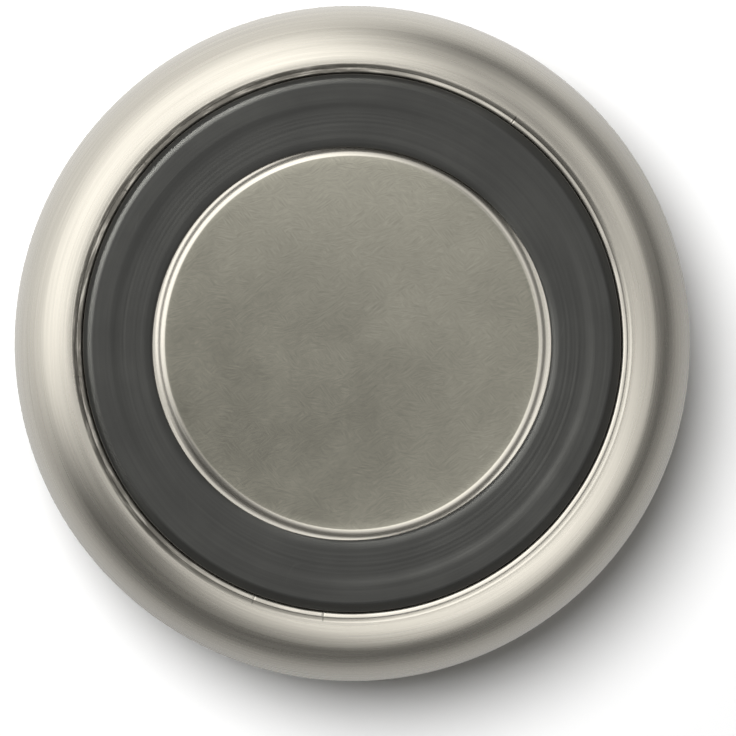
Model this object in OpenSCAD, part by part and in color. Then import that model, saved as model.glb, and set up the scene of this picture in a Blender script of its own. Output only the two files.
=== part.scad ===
// Double-walled stainless bowl for pets, standing on a silicone ring.
// Millimetres, +Z up. The origin is at the bowl's axis, on the surface that the ring stands on.
// Every piece is a pressing or moulding of revolution, so each outline below is drawn once as
// [radius, height] and turned round the axis.

/* [Bowl] */
// Height from the standing surface to the top of the brim
bowl_h = 58; // [54:0.5:66]
// Diameter at the widest place of the outer wall
belly_d = 170; // [162:1:186]
// Height of the widest place above the standing surface
belly_z = 28; // [24:0.5:31]
// Least air gap between the base pan and the inner bowl's floor
floor_gap = 5.6; // [3:0.2:9]
// Radius of the pressed corner between the inner wall and the floor
corner_r = 22; // [12:0.5:26]
// Lean of the inner wall, in degrees from upright
wall_draft = 4; // [2:0.5:8]

/* [Steel sheet] */
// Thickness of the inner bowl's sheet
liner_t = 0.7; // [0.5:0.05:0.9]
// Thickness of the outer shell's sheet
shell_t = 0.7; // [0.5:0.05:0.8]
// Thickness of the base pan's sheet
pan_t = 0.8; // [0.5:0.05:0.9]

/* [Brim] */
// Outer radius of the rolled brim
brim_r = 2.8; // [2.5:0.1:3.4]
// Half width of the curve that draws the shell in from the belly to the brim
shoulder_w = 10; // [8:0.5:13]
// Where the brim's edge ends on the outside, in degrees above level
brim_end = 30; // [24:1:38]
// Arc over which the shell's edge steps in under the brim, in degrees
joggle = 32; // [24:1:38]
// Arc over which the shell's edge reaches on under the brim, in degrees
tuck = 28; // [15:1:40]
// Depth of the fine seam line between the brim's edge and the shell
seam_depth = 0.16; // [0.12:0.02:0.24]
// Gap between the shell's tucked edge and the brim over it
lap_gap = 0.05; // [0.03:0.01:0.1]

/* [Lip at the base] */
// Height of the shell's lowest line, where it turns in, above the standing surface
lip_z = 0.75; // [0.5:0.05:1.2]
// How far the shell's edge is turned in and up at the lip, in degrees from level
lip_turn = 44; // [40:1:48]
// Outer radius of that turn
lip_bend_r = 0.88; // [0.85:0.01:1.2]
// Width of the straight slope from the turn to the shell's edge
lip_flange_w = 0.65; // [0.55:0.05:0.9]

/* [Base pan] */
// Radius of the flat centre disc
disc_r = 46; // [36:0.5:50]
// Height of the centre disc above the standing surface
disc_z = 0.4; // [0.3:0.05:0.8]
// Width of the curved step round the disc
step_w = 2.8; // [2.4:0.1:4.5]
// Width of the ring's channel
channel_w = 17.55; // [12:0.05:20]
// Depth of the ring's channel beside the step, from the disc's face
channel_depth = 1.25; // [1.1:0.05:2]
// How much deeper the channel is at its outer wall
channel_fall = 0.85; // [0.6:0.05:1.1]
// Height of the ledge over the floor of the channel beside it
ledge_h = 0.9; // [0.7:0.05:1.1]
// Outer radius of the bend from the channel's wall to the ledge
ledge_bend_r = 0.95; // [0.9:0.05:1.1]
// Width of the ledge past its bend
ledge_w = 0.55; // [0.3:0.05:1]
// Lean of the ledge towards the bowl's axis, in degrees
ledge_tilt = 5; // [2:1:10]
// Radius of the fillet at the foot of the channel's outer wall
channel_fillet = 0.2; // [0.15:0.05:0.5]
// Gap between the pan's edge and the shell's, which the weld fills
weld_gap = 0.05; // [0.03:0.01:0.1]
// Width of the mark that a tack weld leaves across the ledge
tack_w = 0.4; // [0.2:0.05:0.8]
// Depth of that mark
tack_depth = 0.22; // [0.1:0.02:0.3]
// Place of that mark round the bowl, in degrees from +X
tack_angle = 126; // [0:1:359]

/* [Silicone ring] */
// Gap between the ring and the walls of its channel
ring_gap = 0.15; // [0.05:0.05:0.3]
// Radius where the ring's face turns into its outer side
ring_shoulder_r = 1; // [0.6:0.1:1.4]
// Lean of the ring's outer side, in degrees from level
ring_slope = 46.5; // [40:0.5:60]
// Width of the rounding at the ring's inner edge
ring_inner_w = 2.2; // [1:0.1:3]
// Radius of the ring's small corner at the bond, and height of its upright inner edge
ring_corner_r = 0.15; // [0.1:0.05:0.3]
// Width of the raised band that touches the floor
land_w = 3.8; // [2.5:0.1:5]
// Height of that band over the rest of the ring's face
land_h = 0.2; // [0.15:0.05:0.4]
// Width of the slope beside the band
land_slope_w = 1.2; // [0.3:0.1:1.5]
// Thickness of the bond between the ring and the pan
bond_t = 0.2; // [0.1:0.05:0.3]
// How far the bond stops short of the ring's edges
bond_inset = 1; // [0.5:0.25:2]

/* [Hidden] */

// Chords in a large curve, in a bend, and in a full turn
curve_steps = 18;
bend_steps = 8;
$fn = 180;

// Colours as photographed
steel_colour = [0.74, 0.72, 0.68];
disc_colour = [0.62, 0.6, 0.55];
silicone_colour = [0.24, 0.24, 0.23];
bond_colour = [0.55, 0.55, 0.53];

// An arc of a circle, from one angle to another, and one of an upright oval
function arc(centre, r, from, to, steps) = oval(centre, r, r, from, to, steps);
function oval(centre, half_w, half_h, from, to, steps) = [
    for (i = [0:steps])
        let (a = from + (to - from) * i / steps)
            centre + [half_w * cos(a), half_h * sin(a)]
];

// Runs smoothly from 0 to 1
function ease(share) = (1 - cos(180 * share)) / 2;

// A curved step from one point to another, level at both ends
function ramp(from, to, steps) = [
    for (i = [0:steps])
        [from.x + (to.x - from.x) * i / steps, from.y + (to.y - from.y) * ease(i / steps)]
];

// Joins stretches where each starts at the last one's end
function chain(stretches) = [
    for (k = [0:len(stretches) - 1])
        for (i = [(k == 0 ? 0 : 1):len(stretches[k]) - 1])
            stretches[k][i]
];
function reversed(points) = [for (i = [len(points) - 1:-1:0]) points[i]];
function unit(v) = v / norm(v);

// The other face of a sheet: each point moved square to the path, to the left of its run
function direction(path, i) =
    unit((i == 0 ? [0, 0] : unit(path[i] - path[i - 1]))
        + (i == len(path) - 1 ? [0, 0] : unit(path[i + 1] - path[i])));
function other_face(path, sheet) = [
    for (i = [0:len(path) - 1])
        let (d = direction(path, i))
            path[i] + sheet * [-d.y, d.x]
];

// Volume inside a path turned round the axis, in cubic millimetres
function turned_volume(path) =
    sum_of([
        for (i = [1:len(path) - 1])
            let (a = path[i - 1], b = path[i])
                PI * (a.x * a.x + a.x * b.x + b.x * b.x) / 3 * (b.y - a.y)
    ]);
function sum_of(values, i = 0) = i < len(values) ? values[i] + sum_of(values, i + 1) : 0;

// Base, from the axis outwards: the step, the channel, the ledge, the weld and the shell's lip
channel_in_r = disc_r + step_w;
channel_out_r = channel_in_r + channel_w;
channel_z = disc_z + channel_depth;
channel_out_z = channel_z + channel_fall;
ledge_z = channel_out_z - ledge_h;
fillet_centre = [channel_out_r, channel_out_z - channel_fillet];
wall_lean = acos((channel_fillet + ledge_bend_r * cos(ledge_tilt) - ledge_h)
    / (channel_fillet + ledge_bend_r));
ledge_centre = [
    channel_out_r + (channel_fillet + ledge_bend_r) * sin(wall_lean),
    ledge_z + ledge_bend_r * cos(ledge_tilt)
];
ledge_start = ledge_centre - ledge_bend_r * [sin(ledge_tilt), cos(ledge_tilt)];
pan_edge = ledge_start + ledge_w * [1, -tan(ledge_tilt)];
lip_edge_r = pan_edge.x + weld_gap;
lip_r = lip_edge_r + lip_flange_w + lip_bend_r * sin(lip_turn);
lip_centre = [lip_r, lip_z + lip_bend_r];
lip_turned = lip_centre - lip_bend_r * [sin(lip_turn), cos(lip_turn)];
lip_edge_z = lip_turned.y + lip_flange_w * tan(lip_turn);

// Height of the channel's floor at a radius
function floor_at(r) = channel_z + channel_fall * (r - channel_in_r) / channel_w;

// The shell's outer curve is two ovals that meet at the belly. The upper one is as tall as makes it
// run on into the brim's roll at brim_end, with the roll's top at bowl_h.
belly_r = belly_d / 2;
shoulder_rise = bowl_h - belly_z - brim_r * (1 - sin(brim_end));
shoulder_lean = tan(brim_end) / shoulder_w;
shoulder_h = sqrt(
    pow(shoulder_rise, 2) / 2
    + sqrt(pow(shoulder_rise, 4) / 4 + pow(shoulder_rise / shoulder_lean, 2))
);
shoulder_end = atan(shoulder_h * shoulder_lean);
shoulder_centre = [belly_r - shoulder_w, belly_z];
brim_centre = shoulder_centre
    + [shoulder_w * cos(shoulder_end), shoulder_h * sin(shoulder_end)]
    - brim_r * [cos(brim_end), sin(brim_end)];

// Radius of the shell's edge about the brim's centre, where it steps in under the brim
function tucked_r(angle) =
    brim_r - (liner_t + lap_gap) * ease(min(1, (angle - brim_end) / joggle));

// The same edge as points, at a depth below its outer face
function brim_arc(depth, from, to) = [
    for (i = [0:bend_steps])
        let (a = from + (to - from) * i / bend_steps)
            brim_centre + (tucked_r(a) - depth) * [cos(a), sin(a)]
];

// The brim's edge ends where it is as thick as the seam line is deep
brim_tip = brim_end + joggle * acos(1 - 2 * (seam_depth + lap_gap) / (liner_t + lap_gap)) / 180;

// Inside of the bowl
floor_z = channel_out_z + pan_t + floor_gap + liner_t;
wall_out = [cos(wall_draft), -sin(wall_draft)];
wall_top = brim_centre - brim_r * wall_out;
corner_centre_z = floor_z + corner_r;
corner_centre = [
    (wall_top * wall_out - corner_r + corner_centre_z * sin(wall_draft)) / cos(wall_draft),
    corner_centre_z
];

// The face that holds the food, from the axis to the top of the wall
food_face = chain([
    [[0, floor_z], [corner_centre.x, floor_z]],
    arc(corner_centre, corner_r, -90, -wall_draft, curve_steps),
    [corner_centre + corner_r * wall_out, wall_top]
]);
echo(millilitres_to_the_brim = turned_volume(food_face) / 1000);

// Ring
ring_in_r = channel_in_r + ring_gap;
ring_out_r = channel_out_r - ring_gap;
ring_side_z = floor_at(ring_out_r - ring_corner_r) - bond_t - ring_corner_r;
ring_inner_h = floor_at(ring_in_r) - bond_t - ring_corner_r - land_h;
land_out_r = ring_out_r - ring_shoulder_r * sin(ring_slope)
    - (ring_side_z - ring_shoulder_r * (1 - cos(ring_slope))) / tan(ring_slope);
land_in_r = land_out_r - land_w;
bond_in_r = ring_in_r + bond_inset;
bond_out_r = ring_out_r - bond_inset;

// Deep-drawn liner. Its brim rolls outwards over the shell's edge, and the roll's inner face follows
// that edge, so the sheet thins to a fine edge that is welded and ground flush.
module inner_bowl() {
    roll = chain([
        arc(brim_centre, brim_r, 180 - wall_draft, 90, bend_steps),
        arc(brim_centre, brim_r, 90, brim_tip, bend_steps)
    ]);
    thinned = brim_arc(-lap_gap, brim_tip, brim_end + joggle);
    inside_roll = arc(brim_centre, brim_r - liner_t, brim_end + joggle, 180 - wall_draft, curve_steps);
    color(steel_colour)
        rotate_extrude()
            polygon(concat(
                chain([food_face, roll]),
                chain([thinned, inside_roll, reversed(other_face(food_face, -liner_t))])
            ));
}

// Outer wall, from the edge that is turned in at the lip, round the belly, to the edge under the brim
module outer_shell() {
    path = chain([
        [[lip_edge_r, lip_edge_z], lip_turned],
        arc(lip_centre, lip_bend_r, 270 - lip_turn, 270, bend_steps),
        oval([lip_r, belly_z], belly_r - lip_r, belly_z - lip_z, -90, 0, curve_steps),
        oval(shoulder_centre, shoulder_w, shoulder_h, 0, shoulder_end, curve_steps)
    ]);
    joggle_end = brim_end + joggle;
    tuck_end = joggle_end + tuck;
    outside = chain([
        path,
        brim_arc(0, brim_end, joggle_end),
        brim_arc(0, joggle_end, tuck_end)
    ]);
    inside = chain([
        brim_arc(shell_t, tuck_end, joggle_end),
        brim_arc(shell_t, joggle_end, brim_end),
        reversed(other_face(path, shell_t))
    ]);
    color(steel_colour)
        rotate_extrude()
            polygon(concat(outside, inside));
}

// Pressed base: the raised centre disc, the curved step, the ring's channel, and the narrow ledge that
// meets the shell's lip edge to edge. A tack weld leaves a mark across the ledge.
module base_pan() {
    path = chain([
        [[0, disc_z], [disc_r, disc_z]],
        ramp([disc_r, disc_z], [channel_in_r, channel_z], curve_steps),
        [[channel_in_r, channel_z], [channel_out_r, channel_out_z]],
        arc(fillet_centre, channel_fillet, 90, 90 - wall_lean, bend_steps),
        arc(ledge_centre, ledge_bend_r, 270 - wall_lean, 270 - ledge_tilt, bend_steps),
        [ledge_start, pan_edge]
    ]);
    color(disc_colour)
        difference() {
            rotate_extrude()
                polygon(concat(path, reversed(other_face(path, pan_t))));
            rotate([0, 0, tack_angle])
                translate([channel_out_r, -tack_w / 2, pan_edge.y - tack_depth])
                    cube([lip_edge_r - channel_out_r, tack_w, 2 * tack_depth]);
        }
}

// Silicone ring, with a raised band near its outside, and a side that slopes down to the ledge
module non_slip_ring() {
    face = chain([
        [[ring_in_r, floor_at(ring_in_r) - bond_t], [ring_in_r, land_h + ring_inner_h]],
        oval(
            [ring_in_r + ring_inner_w, land_h + ring_inner_h],
            ring_inner_w, ring_inner_h, 180, 270, bend_steps
        ),
        [[ring_in_r + ring_inner_w, land_h], [land_in_r - land_slope_w, land_h]],
        ramp([land_in_r - land_slope_w, land_h], [land_in_r, 0], bend_steps),
        [[land_in_r, 0], [land_out_r, 0]],
        arc([land_out_r, ring_shoulder_r], ring_shoulder_r, -90, ring_slope - 90, bend_steps)
    ]);
    corner_centre = [ring_out_r - ring_corner_r, ring_side_z];
    color(silicone_colour)
        rotate_extrude()
            polygon(concat(face, arc(corner_centre, ring_corner_r, 0, 90, bend_steps)));
}

// Cured adhesive between the ring and the floor of the channel
module ring_bond() {
    color(bond_colour)
        rotate_extrude()
            polygon([
                [bond_in_r, floor_at(bond_in_r) - bond_t],
                [bond_out_r, floor_at(bond_out_r) - bond_t],
                [bond_out_r, floor_at(bond_out_r)],
                [bond_in_r, floor_at(bond_in_r)]
            ]);
}

inner_bowl();
outer_shell();
base_pan();
non_slip_ring();
ring_bond();
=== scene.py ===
"""Looks and stage for a double-walled stainless bowl for pets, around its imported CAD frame.

Lengths are metres and angles radians, with +Z up out of the bowl's mouth. Every piece but the bond
is an outline of (radius, height) points turned round the Z axis.
"""

import math
from types import SimpleNamespace

import bpy
import numpy as np
from bpy.props import FloatProperty, FloatVectorProperty, IntProperty, PointerProperty
from bpy.types import Operator, Panel, PropertyGroup
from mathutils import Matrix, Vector


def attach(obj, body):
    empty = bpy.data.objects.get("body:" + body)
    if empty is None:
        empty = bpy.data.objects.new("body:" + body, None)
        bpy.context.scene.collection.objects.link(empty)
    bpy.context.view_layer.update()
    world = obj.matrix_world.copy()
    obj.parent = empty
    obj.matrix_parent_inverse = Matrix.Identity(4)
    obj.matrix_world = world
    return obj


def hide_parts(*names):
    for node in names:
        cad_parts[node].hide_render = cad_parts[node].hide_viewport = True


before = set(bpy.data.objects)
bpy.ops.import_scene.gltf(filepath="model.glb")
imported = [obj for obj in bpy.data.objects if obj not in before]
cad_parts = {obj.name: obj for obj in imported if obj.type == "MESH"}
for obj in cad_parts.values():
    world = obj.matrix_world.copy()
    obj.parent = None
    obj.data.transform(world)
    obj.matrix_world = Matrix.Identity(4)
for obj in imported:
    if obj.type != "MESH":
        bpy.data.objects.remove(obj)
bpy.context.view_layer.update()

bl_info = {
    "name": "Double-walled steel bowl",
    "version": (1, 0, 0),
    "blender": (4, 5, 0),
    "location": "3D View > Sidebar > Bowl",
    "description": "Builds the looks of a steel bowl with a silicone ring, and its studio",
    "category": "Object",
}

ALONG = "along"  # name of the attribute that holds the length run along a piece's outline


# ---- sizes, colours and lights


def length(name, default, description):
    """A length property in metres."""
    return FloatProperty(
        name=name, description=description, default=default, min=0, precision=5, unit="LENGTH"
    )


def angle(name, degrees, description):
    """An angle property, given in degrees and kept in radians."""
    return FloatProperty(
        name=name, description=description, default=math.radians(degrees), subtype="ANGLE"
    )


def power(name, watts, description):
    """A lamp's power."""
    return FloatProperty(name=name, description=description, default=watts, min=0, unit="POWER")


def colour(name, default, description):
    """A linear colour property."""
    return FloatVectorProperty(
        name=name, description=description, default=default, size=3, min=0, max=1, subtype="COLOR"
    )


class BowlSizes(PropertyGroup):
    """Sizes of the inner bowl, the outer shell and the brim"""

    height: length("Height", 0.058, "From the standing surface to the top of the brim")
    belly_width: length("Belly width", 0.17, "Diameter at the widest place of the outer wall")
    belly_height: length("Belly height", 0.028, "Height of the widest place")
    floor_gap: length("Floor gap", 0.0056, "Least air between the base pan and the inner bowl's floor")
    corner_radius: length("Corner radius", 0.022, "Pressed corner between wall and floor")
    wall_draft: angle("Wall draft", 4, "Lean of the inner wall from upright")
    liner_sheet: length("Liner sheet", 0.0007, "Thickness of the inner bowl's sheet")
    shell_sheet: length("Shell sheet", 0.0007, "Thickness of the outer shell's sheet")
    brim_radius: length("Brim radius", 0.0028, "Outer radius of the rolled brim")
    shoulder_width: length("Shoulder width", 0.01, "Half width of the curve from belly to brim")
    brim_end: angle("Brim end", 30, "Where the brim's edge ends, above level")
    joggle: angle("Joggle", 32, "Arc over which the shell's edge steps in under the brim")
    tuck: angle("Tuck", 28, "Arc over which the shell's edge reaches on under the brim")
    seam_depth: length("Seam depth", 0.00016, "Depth of the fine line under the brim's edge")
    lap_gap: length("Lap gap", 0.00005, "Gap between the tucked edge and the brim over it")


class BaseSizes(PropertyGroup):
    """Sizes of the shell's lip, the base pan and the silicone ring"""

    lip_height: length("Lip height", 0.00075, "Height of the shell's lowest line")
    lip_turn: angle("Lip turn", 38, "How far the shell's edge is turned in and up at the lip")
    lip_bend: length("Lip bend", 0.00099, "Outer radius of that turn")
    lip_flange: length("Lip flange", 0.00065, "Width of the straight slope from the turn to the edge")
    disc_radius: length("Disc radius", 0.046, "Radius of the flat centre disc")
    disc_height: length("Disc height", 0.0004, "Height of the disc above the standing surface")
    step_width: length("Step width", 0.0028, "Width of the curved step round the disc")
    channel_width: length("Channel width", 0.01755, "Width of the ring's channel")
    channel_depth: length("Channel depth", 0.00125, "Depth of the channel beside the step")
    channel_fall: length("Channel fall", 0.00085, "How much deeper the channel is outside")
    channel_fillet: length("Channel fillet", 0.0002, "Fillet at the foot of the outer wall")
    pan_sheet: length("Pan sheet", 0.0008, "Thickness of the base pan's sheet")
    ledge_rise: length("Ledge rise", 0.0009, "Height of the ledge over the channel beside it")
    ledge_bend: length("Ledge bend", 0.00095, "Outer radius of the bend at the ledge")
    ledge_width: length("Ledge width", 0.00055, "Width of the ledge past its bend")
    ledge_tilt: angle("Ledge tilt", 8, "Lean of the ledge towards the bowl's axis")
    weld_gap: length("Weld gap", 0.00005, "Gap between the pan's edge and the shell's")
    tack_width: length("Tack width", 0.0004, "Width of the mark that a tack weld leaves")
    tack_depth: length("Tack depth", 0.00022, "Depth of that mark")
    ledge_waver: length("Ledge waver", 0.00003, "How far the ledge wavers from a true circle")
    ring_gap: length("Ring gap", 0.00015, "Gap between the ring and its channel's walls")
    ring_shoulder: length("Ring shoulder", 0.001, "Radius where the face turns into the side")
    ring_slope: angle("Ring slope", 46.5, "Lean of the ring's outer side from level")
    ring_inner: length("Ring inner width", 0.0022, "Width of the rounding at the inner edge")
    ring_corner: length("Ring corner", 0.00015, "Radius of the ring's small corner at the bond")
    ring_inward: length("Ring inward", 0.00015, "How far in the soft inner edge lies on the whole")
    ring_reach: length("Ring reach", 0.0001, "How far the soft outer foot lies out past its gap")
    land_width: length("Land width", 0.0038, "Width of the raised band that meets the floor")
    land_height: length("Land height", 0.0002, "Height of that band over the ring's face")
    land_slope: length("Land slope", 0.0026, "Width of the slope beside the band")
    bond: length("Bond", 0.0002, "Thickness of the bond between the ring and the pan")
    ripple: length("Moulding ripple", 0.000006, "Height of the faint rings on the silicone")


class BowlLooks(PropertyGroup):
    """Colours and finishes"""

    wall_steel: colour("Wall steel", (0.575, 0.545, 0.478), "Brushed steel of the wall")
    step_steel: colour("Step steel", (0.67, 0.635, 0.56), "Bright steel of the step and ledge")
    disc_steel: colour("Disc steel", (0.505, 0.485, 0.4), "Satin steel of the centre disc")
    silicone: colour("Silicone", (0.018, 0.018, 0.0165), "Dark grey silicone rubber")
    silicone_dust: colour("Dust", (0.045, 0.045, 0.0415), "Faint dust on the silicone")
    # Dark tint for the weld's seam and tack marks, also used for painted shade on one side of the ledge
    # and the shell's lip and in the gap at the channel's outer foot
    weld_tint_and_shade: colour("Weld tint and shade", (0.16, 0.15, 0.13), "Steel that the weld's heat has dulled")
    adhesive: colour("Adhesive", (0.26, 0.26, 0.25), "Cured silicone adhesive")
    brush_depth: length("Brush depth", 0.000004, "Depth of the brushed lines")
    brush_pitch: length("Brush pitch", 0.00035, "Distance between the brushed lines")
    brush_reach: length("Brush reach", 0.03, "Length of one brushed line")


class StudioSettings(PropertyGroup):
    """Camera, tabletop, floor and lights"""

    camera_distance: length("Camera distance", 1.2, "From the standing surface to the camera")
    camera_across: length("Camera across", 0.00396, "Camera's offset towards the right")
    camera_up: length("Camera up", 0.0062, "Camera's offset towards the bottom of the frame")
    lens: FloatProperty(name="Lens", description="Focal length", default=238.3, unit="CAMERA")
    key_power: power("Key power", 24.0, "Power of the lamp below, which lights the base")
    fill_power: power("Fill power", 1.5, "Power of the broad fill lamp below")
    low_power: power("Low power", 0.55, "Power of the narrow lamp that grazes the base")
    top_power: power("Top power", 26.0, "Power of the broad lamp above")
    turns: IntProperty(name="Turns", description="Faces round each piece", default=360, min=48)


# ---- outlines


def arc(centre, radius, start, end, steps):
    """Points centre + radius (cos a, sin a), with the angle a running evenly from start to end."""
    return oval(centre, radius, radius, start, end, steps)


def oval(centre, half_width, half_height, start, end, steps):
    """Points centre + (half_width cos a, half_height sin a), with a running evenly."""
    a = np.linspace(start, end, steps + 1)
    return np.column_stack([centre[0] + half_width * np.cos(a), centre[1] + half_height * np.sin(a)])


def ease(t):
    """Runs smoothly from 0 to 1: (1 - cos(pi t)) / 2."""
    return (1 - np.cos(np.pi * t)) / 2


def step_ease(t):
    """Runs from 0 to 1, steep in the middle, which lies at t = 0.48.

    The mean of (1 - cos(pi u)) / 2 and u - sin(2 pi u) / (2 pi), with u = t^0.95.
    """
    u = t**0.95
    return (ease(u) + u - np.sin(2 * np.pi * u) / (2 * np.pi)) / 2


def ramp(start, end, steps, rise=ease):
    """Radius runs evenly from start to end, and height rises from one to the other."""
    t = np.linspace(0, 1, steps + 1)
    return np.column_stack(
        [start[0] + (end[0] - start[0]) * t, start[1] + (end[1] - start[1]) * rise(t)]
    )


def line(start, end, steps):
    """Points spaced evenly on a straight line."""
    return np.linspace(start, end, steps + 1)


def chain(*stretches):
    """Joins stretches of points, each of which starts at the last one's end."""
    return np.concatenate([s if i == 0 else s[1:] for i, s in enumerate(stretches)])


def other_face(path, sheet):
    """Each point moved by sheet, square to the path and to the left of its run.

    The direction at a point is the mean of the unit steps before and after it.
    """
    step = np.diff(path, axis=0)
    step /= np.linalg.norm(step, axis=1)[:, None]
    way = np.concatenate([step[:1], step[1:] + step[:-1], step[-1:]])
    way /= np.linalg.norm(way, axis=1)[:, None]
    return path + sheet * np.column_stack([-way[:, 1], way[:, 0]])


def base_places(s):
    """Radii and heights of the base, from the axis outwards, as the CAD model has them."""
    p = SimpleNamespace()
    p.channel_in = s.disc_radius + s.step_width
    p.channel_out = p.channel_in + s.channel_width
    p.channel_z = s.disc_height + s.channel_depth
    p.channel_out_z = p.channel_z + s.channel_fall
    ledge_z = p.channel_out_z - s.ledge_rise
    bends = s.channel_fillet + s.ledge_bend
    p.lean = math.acos((bends - s.ledge_bend * (1 - math.cos(s.ledge_tilt)) - s.ledge_rise) / bends)
    p.fillet = np.array([p.channel_out, p.channel_out_z - s.channel_fillet])
    p.ledge = np.array(
        [p.channel_out + bends * math.sin(p.lean), ledge_z + s.ledge_bend * math.cos(s.ledge_tilt)]
    )
    tilted = np.array([math.sin(s.ledge_tilt), math.cos(s.ledge_tilt)])
    p.ledge_start = p.ledge - s.ledge_bend * tilted
    p.pan_edge = p.ledge_start + s.ledge_width * np.array([1, -math.tan(s.ledge_tilt)])
    p.lip = np.array(
        [
            p.pan_edge[0] + s.weld_gap + s.lip_flange + s.lip_bend * math.sin(s.lip_turn),
            s.lip_height + s.lip_bend,
        ]
    )
    p.lip_turned = p.lip - s.lip_bend * np.array([math.sin(s.lip_turn), math.cos(s.lip_turn)])
    p.lip_edge = p.lip_turned + s.lip_flange * np.array([-1, math.tan(s.lip_turn)])
    return p


def floor_at(s, p, r):
    """Height of the pan's lower face at a radius: the disc, the eased step, the sloping channel."""
    step = s.channel_depth * step_ease(np.clip((r - s.disc_radius) / s.step_width, 0, 1))
    fall = s.channel_fall * np.clip((r - p.channel_in) / s.channel_width, 0, 1)
    return s.disc_height + step + fall


def wall_places(s, base, sheet):
    """Centres and angles of the wall's curves, the brim and the inside of the bowl.

    The upper oval is as tall as makes it run on into the brim's roll at brim_end.
    """
    p = SimpleNamespace()
    p.belly = s.belly_width / 2
    rise = s.height - s.belly_height - s.brim_radius * (1 - math.sin(s.brim_end))
    lean = math.tan(s.brim_end) / s.shoulder_width
    p.shoulder_height = math.sqrt(rise**2 / 2 + math.sqrt(rise**4 / 4 + (rise / lean) ** 2))
    p.shoulder_end = math.atan(p.shoulder_height * lean)
    p.shoulder = np.array([p.belly - s.shoulder_width, s.belly_height])
    p.brim = (
        p.shoulder
        + [
            s.shoulder_width * math.cos(p.shoulder_end) - s.brim_radius * math.cos(s.brim_end),
            p.shoulder_height * math.sin(p.shoulder_end) - s.brim_radius * math.sin(s.brim_end),
        ]
    )
    p.step_in = s.liner_sheet + s.lap_gap
    p.joggle_end = s.brim_end + s.joggle
    p.brim_tip = s.brim_end + s.joggle * math.acos(
        1 - 2 * (s.seam_depth + s.lap_gap) / p.step_in
    ) / math.pi
    p.floor_z = base.channel_out_z + sheet + s.floor_gap + s.liner_sheet
    p.wall_out = np.array([math.cos(s.wall_draft), -math.sin(s.wall_draft)])
    p.wall_top = p.brim - s.brim_radius * p.wall_out
    corner_z = p.floor_z + s.corner_radius
    across = p.wall_top @ p.wall_out - s.corner_radius + corner_z * math.sin(s.wall_draft)
    p.corner = np.array([across / math.cos(s.wall_draft), corner_z])
    return p


def brim_arc(s, p, depth, start, end, steps=16):
    """The shell's edge about the brim's centre, depth below its outer face.

    Its radius is the brim's, less a step that eases in over the joggle.
    """
    a = np.linspace(start, end, steps + 1)
    inward = p.step_in * ease(np.clip((a - s.brim_end) / s.joggle, 0, 1))
    reach = (s.brim_radius - inward - depth)[:, None]
    return p.brim + reach * np.column_stack([np.cos(a), np.sin(a)])


# ---- meshes


def turned(name, outline, columns, bend=None):
    """A closed piece: the outline of (radius, height) points turned round Z.

    x = r cos t, y = r sin t, z = h, where t is a column's angle. bend, if given, takes the radii,
    heights and angles as whole grids and returns the radii and heights moved. An outline that
    starts and ends on the axis gets one point at each pole; any other is a closed loop.
    """
    poled = outline[0, 0] == 0
    rows = outline[1:-1] if poled else outline
    run = np.concatenate([[0], np.cumsum(np.linalg.norm(np.diff(outline, axis=0), axis=1))])
    t = np.broadcast_to(columns, (len(rows), len(columns)))
    r = np.repeat(rows[:, :1], len(columns), axis=1)
    h = np.repeat(rows[:, 1:], len(columns), axis=1)
    if bend:
        r, h = bend(r, h, t)
    points = np.stack([r * np.cos(t), r * np.sin(t), h], axis=-1).reshape(-1, 3)
    along = np.repeat(run[1:-1] if poled else run, len(columns))
    grid = np.arange(len(points)).reshape(len(rows), len(columns))
    nxt = np.roll(grid, -1, axis=1)
    low = np.arange(len(rows) - 1 if poled else len(rows))
    high = (low + 1) % len(rows)
    quads = np.stack([grid[low], nxt[low], nxt[high], grid[high]], axis=-1).reshape(-1, 4)
    tris = NO_TRIANGLES
    if poled:
        first, last = len(points), len(points) + 1
        points = np.concatenate([points, [[0, 0, outline[0, 1]], [0, 0, outline[-1, 1]]]])
        along = np.concatenate([along, [run[0], run[-1]]])
        fan = np.full(len(columns), first)
        end = np.full(len(columns), last)
        tris = np.concatenate(
            [np.stack([fan, nxt[0], grid[0]], -1), np.stack([end, grid[-1], nxt[-1]], -1)]
        )
    x, y = outline.T
    if np.sum(x * np.roll(y, -1) - np.roll(x, -1) * y) < 0:
        quads, tris = quads[:, ::-1], tris[:, ::-1]
    return mesh_piece(name, points, quads, tris, along)


SHARP_FROM = math.radians(38)  # faces that meet at a greater turn than this have a sharp edge
NO_TRIANGLES = np.zeros((0, 3), int)


def mesh_piece(name, points, quads, tris=NO_TRIANGLES, along=0.0):
    """A smooth piece from arrays of points, four-sided faces and triangles."""
    mesh = bpy.data.meshes.new(name)
    mesh.vertices.add(len(points))
    mesh.vertices.foreach_set("co", points.astype(np.float32).ravel())
    corners = np.concatenate([quads.ravel(), tris.ravel()])
    mesh.loops.add(len(corners))
    mesh.loops.foreach_set("vertex_index", corners.astype(np.int32))
    mesh.polygons.add(len(quads) + len(tris))
    starts = np.concatenate(
        [np.arange(len(quads)) * 4, len(quads) * 4 + np.arange(len(tris)) * 3]
    )
    mesh.polygons.foreach_set("loop_start", starts.astype(np.int32))
    mesh.update(calc_edges=True)
    mesh.shade_smooth()
    mesh.set_sharp_from_angle(angle=SHARP_FROM)
    attribute = mesh.attributes.new(ALONG, "FLOAT", "POINT")
    along = np.broadcast_to(along, len(points)).astype(np.float32)
    attribute.data.foreach_set("value", along)
    piece = bpy.data.objects.new(name, mesh)
    bpy.context.scene.collection.objects.link(piece)
    return piece


def even_columns(turns, marks=(), half=0.012, extra=24):
    """Angles round the piece, evenly spaced, with extra ones within half of each mark.

    Rounding makes one of those that fall together.
    """
    angles = [np.arange(turns) * 2 * np.pi / turns]
    angles += [mark + np.linspace(-half, half, extra) for mark in marks]
    return np.unique(np.round(np.concatenate(angles) % (2 * np.pi), 7))


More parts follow.
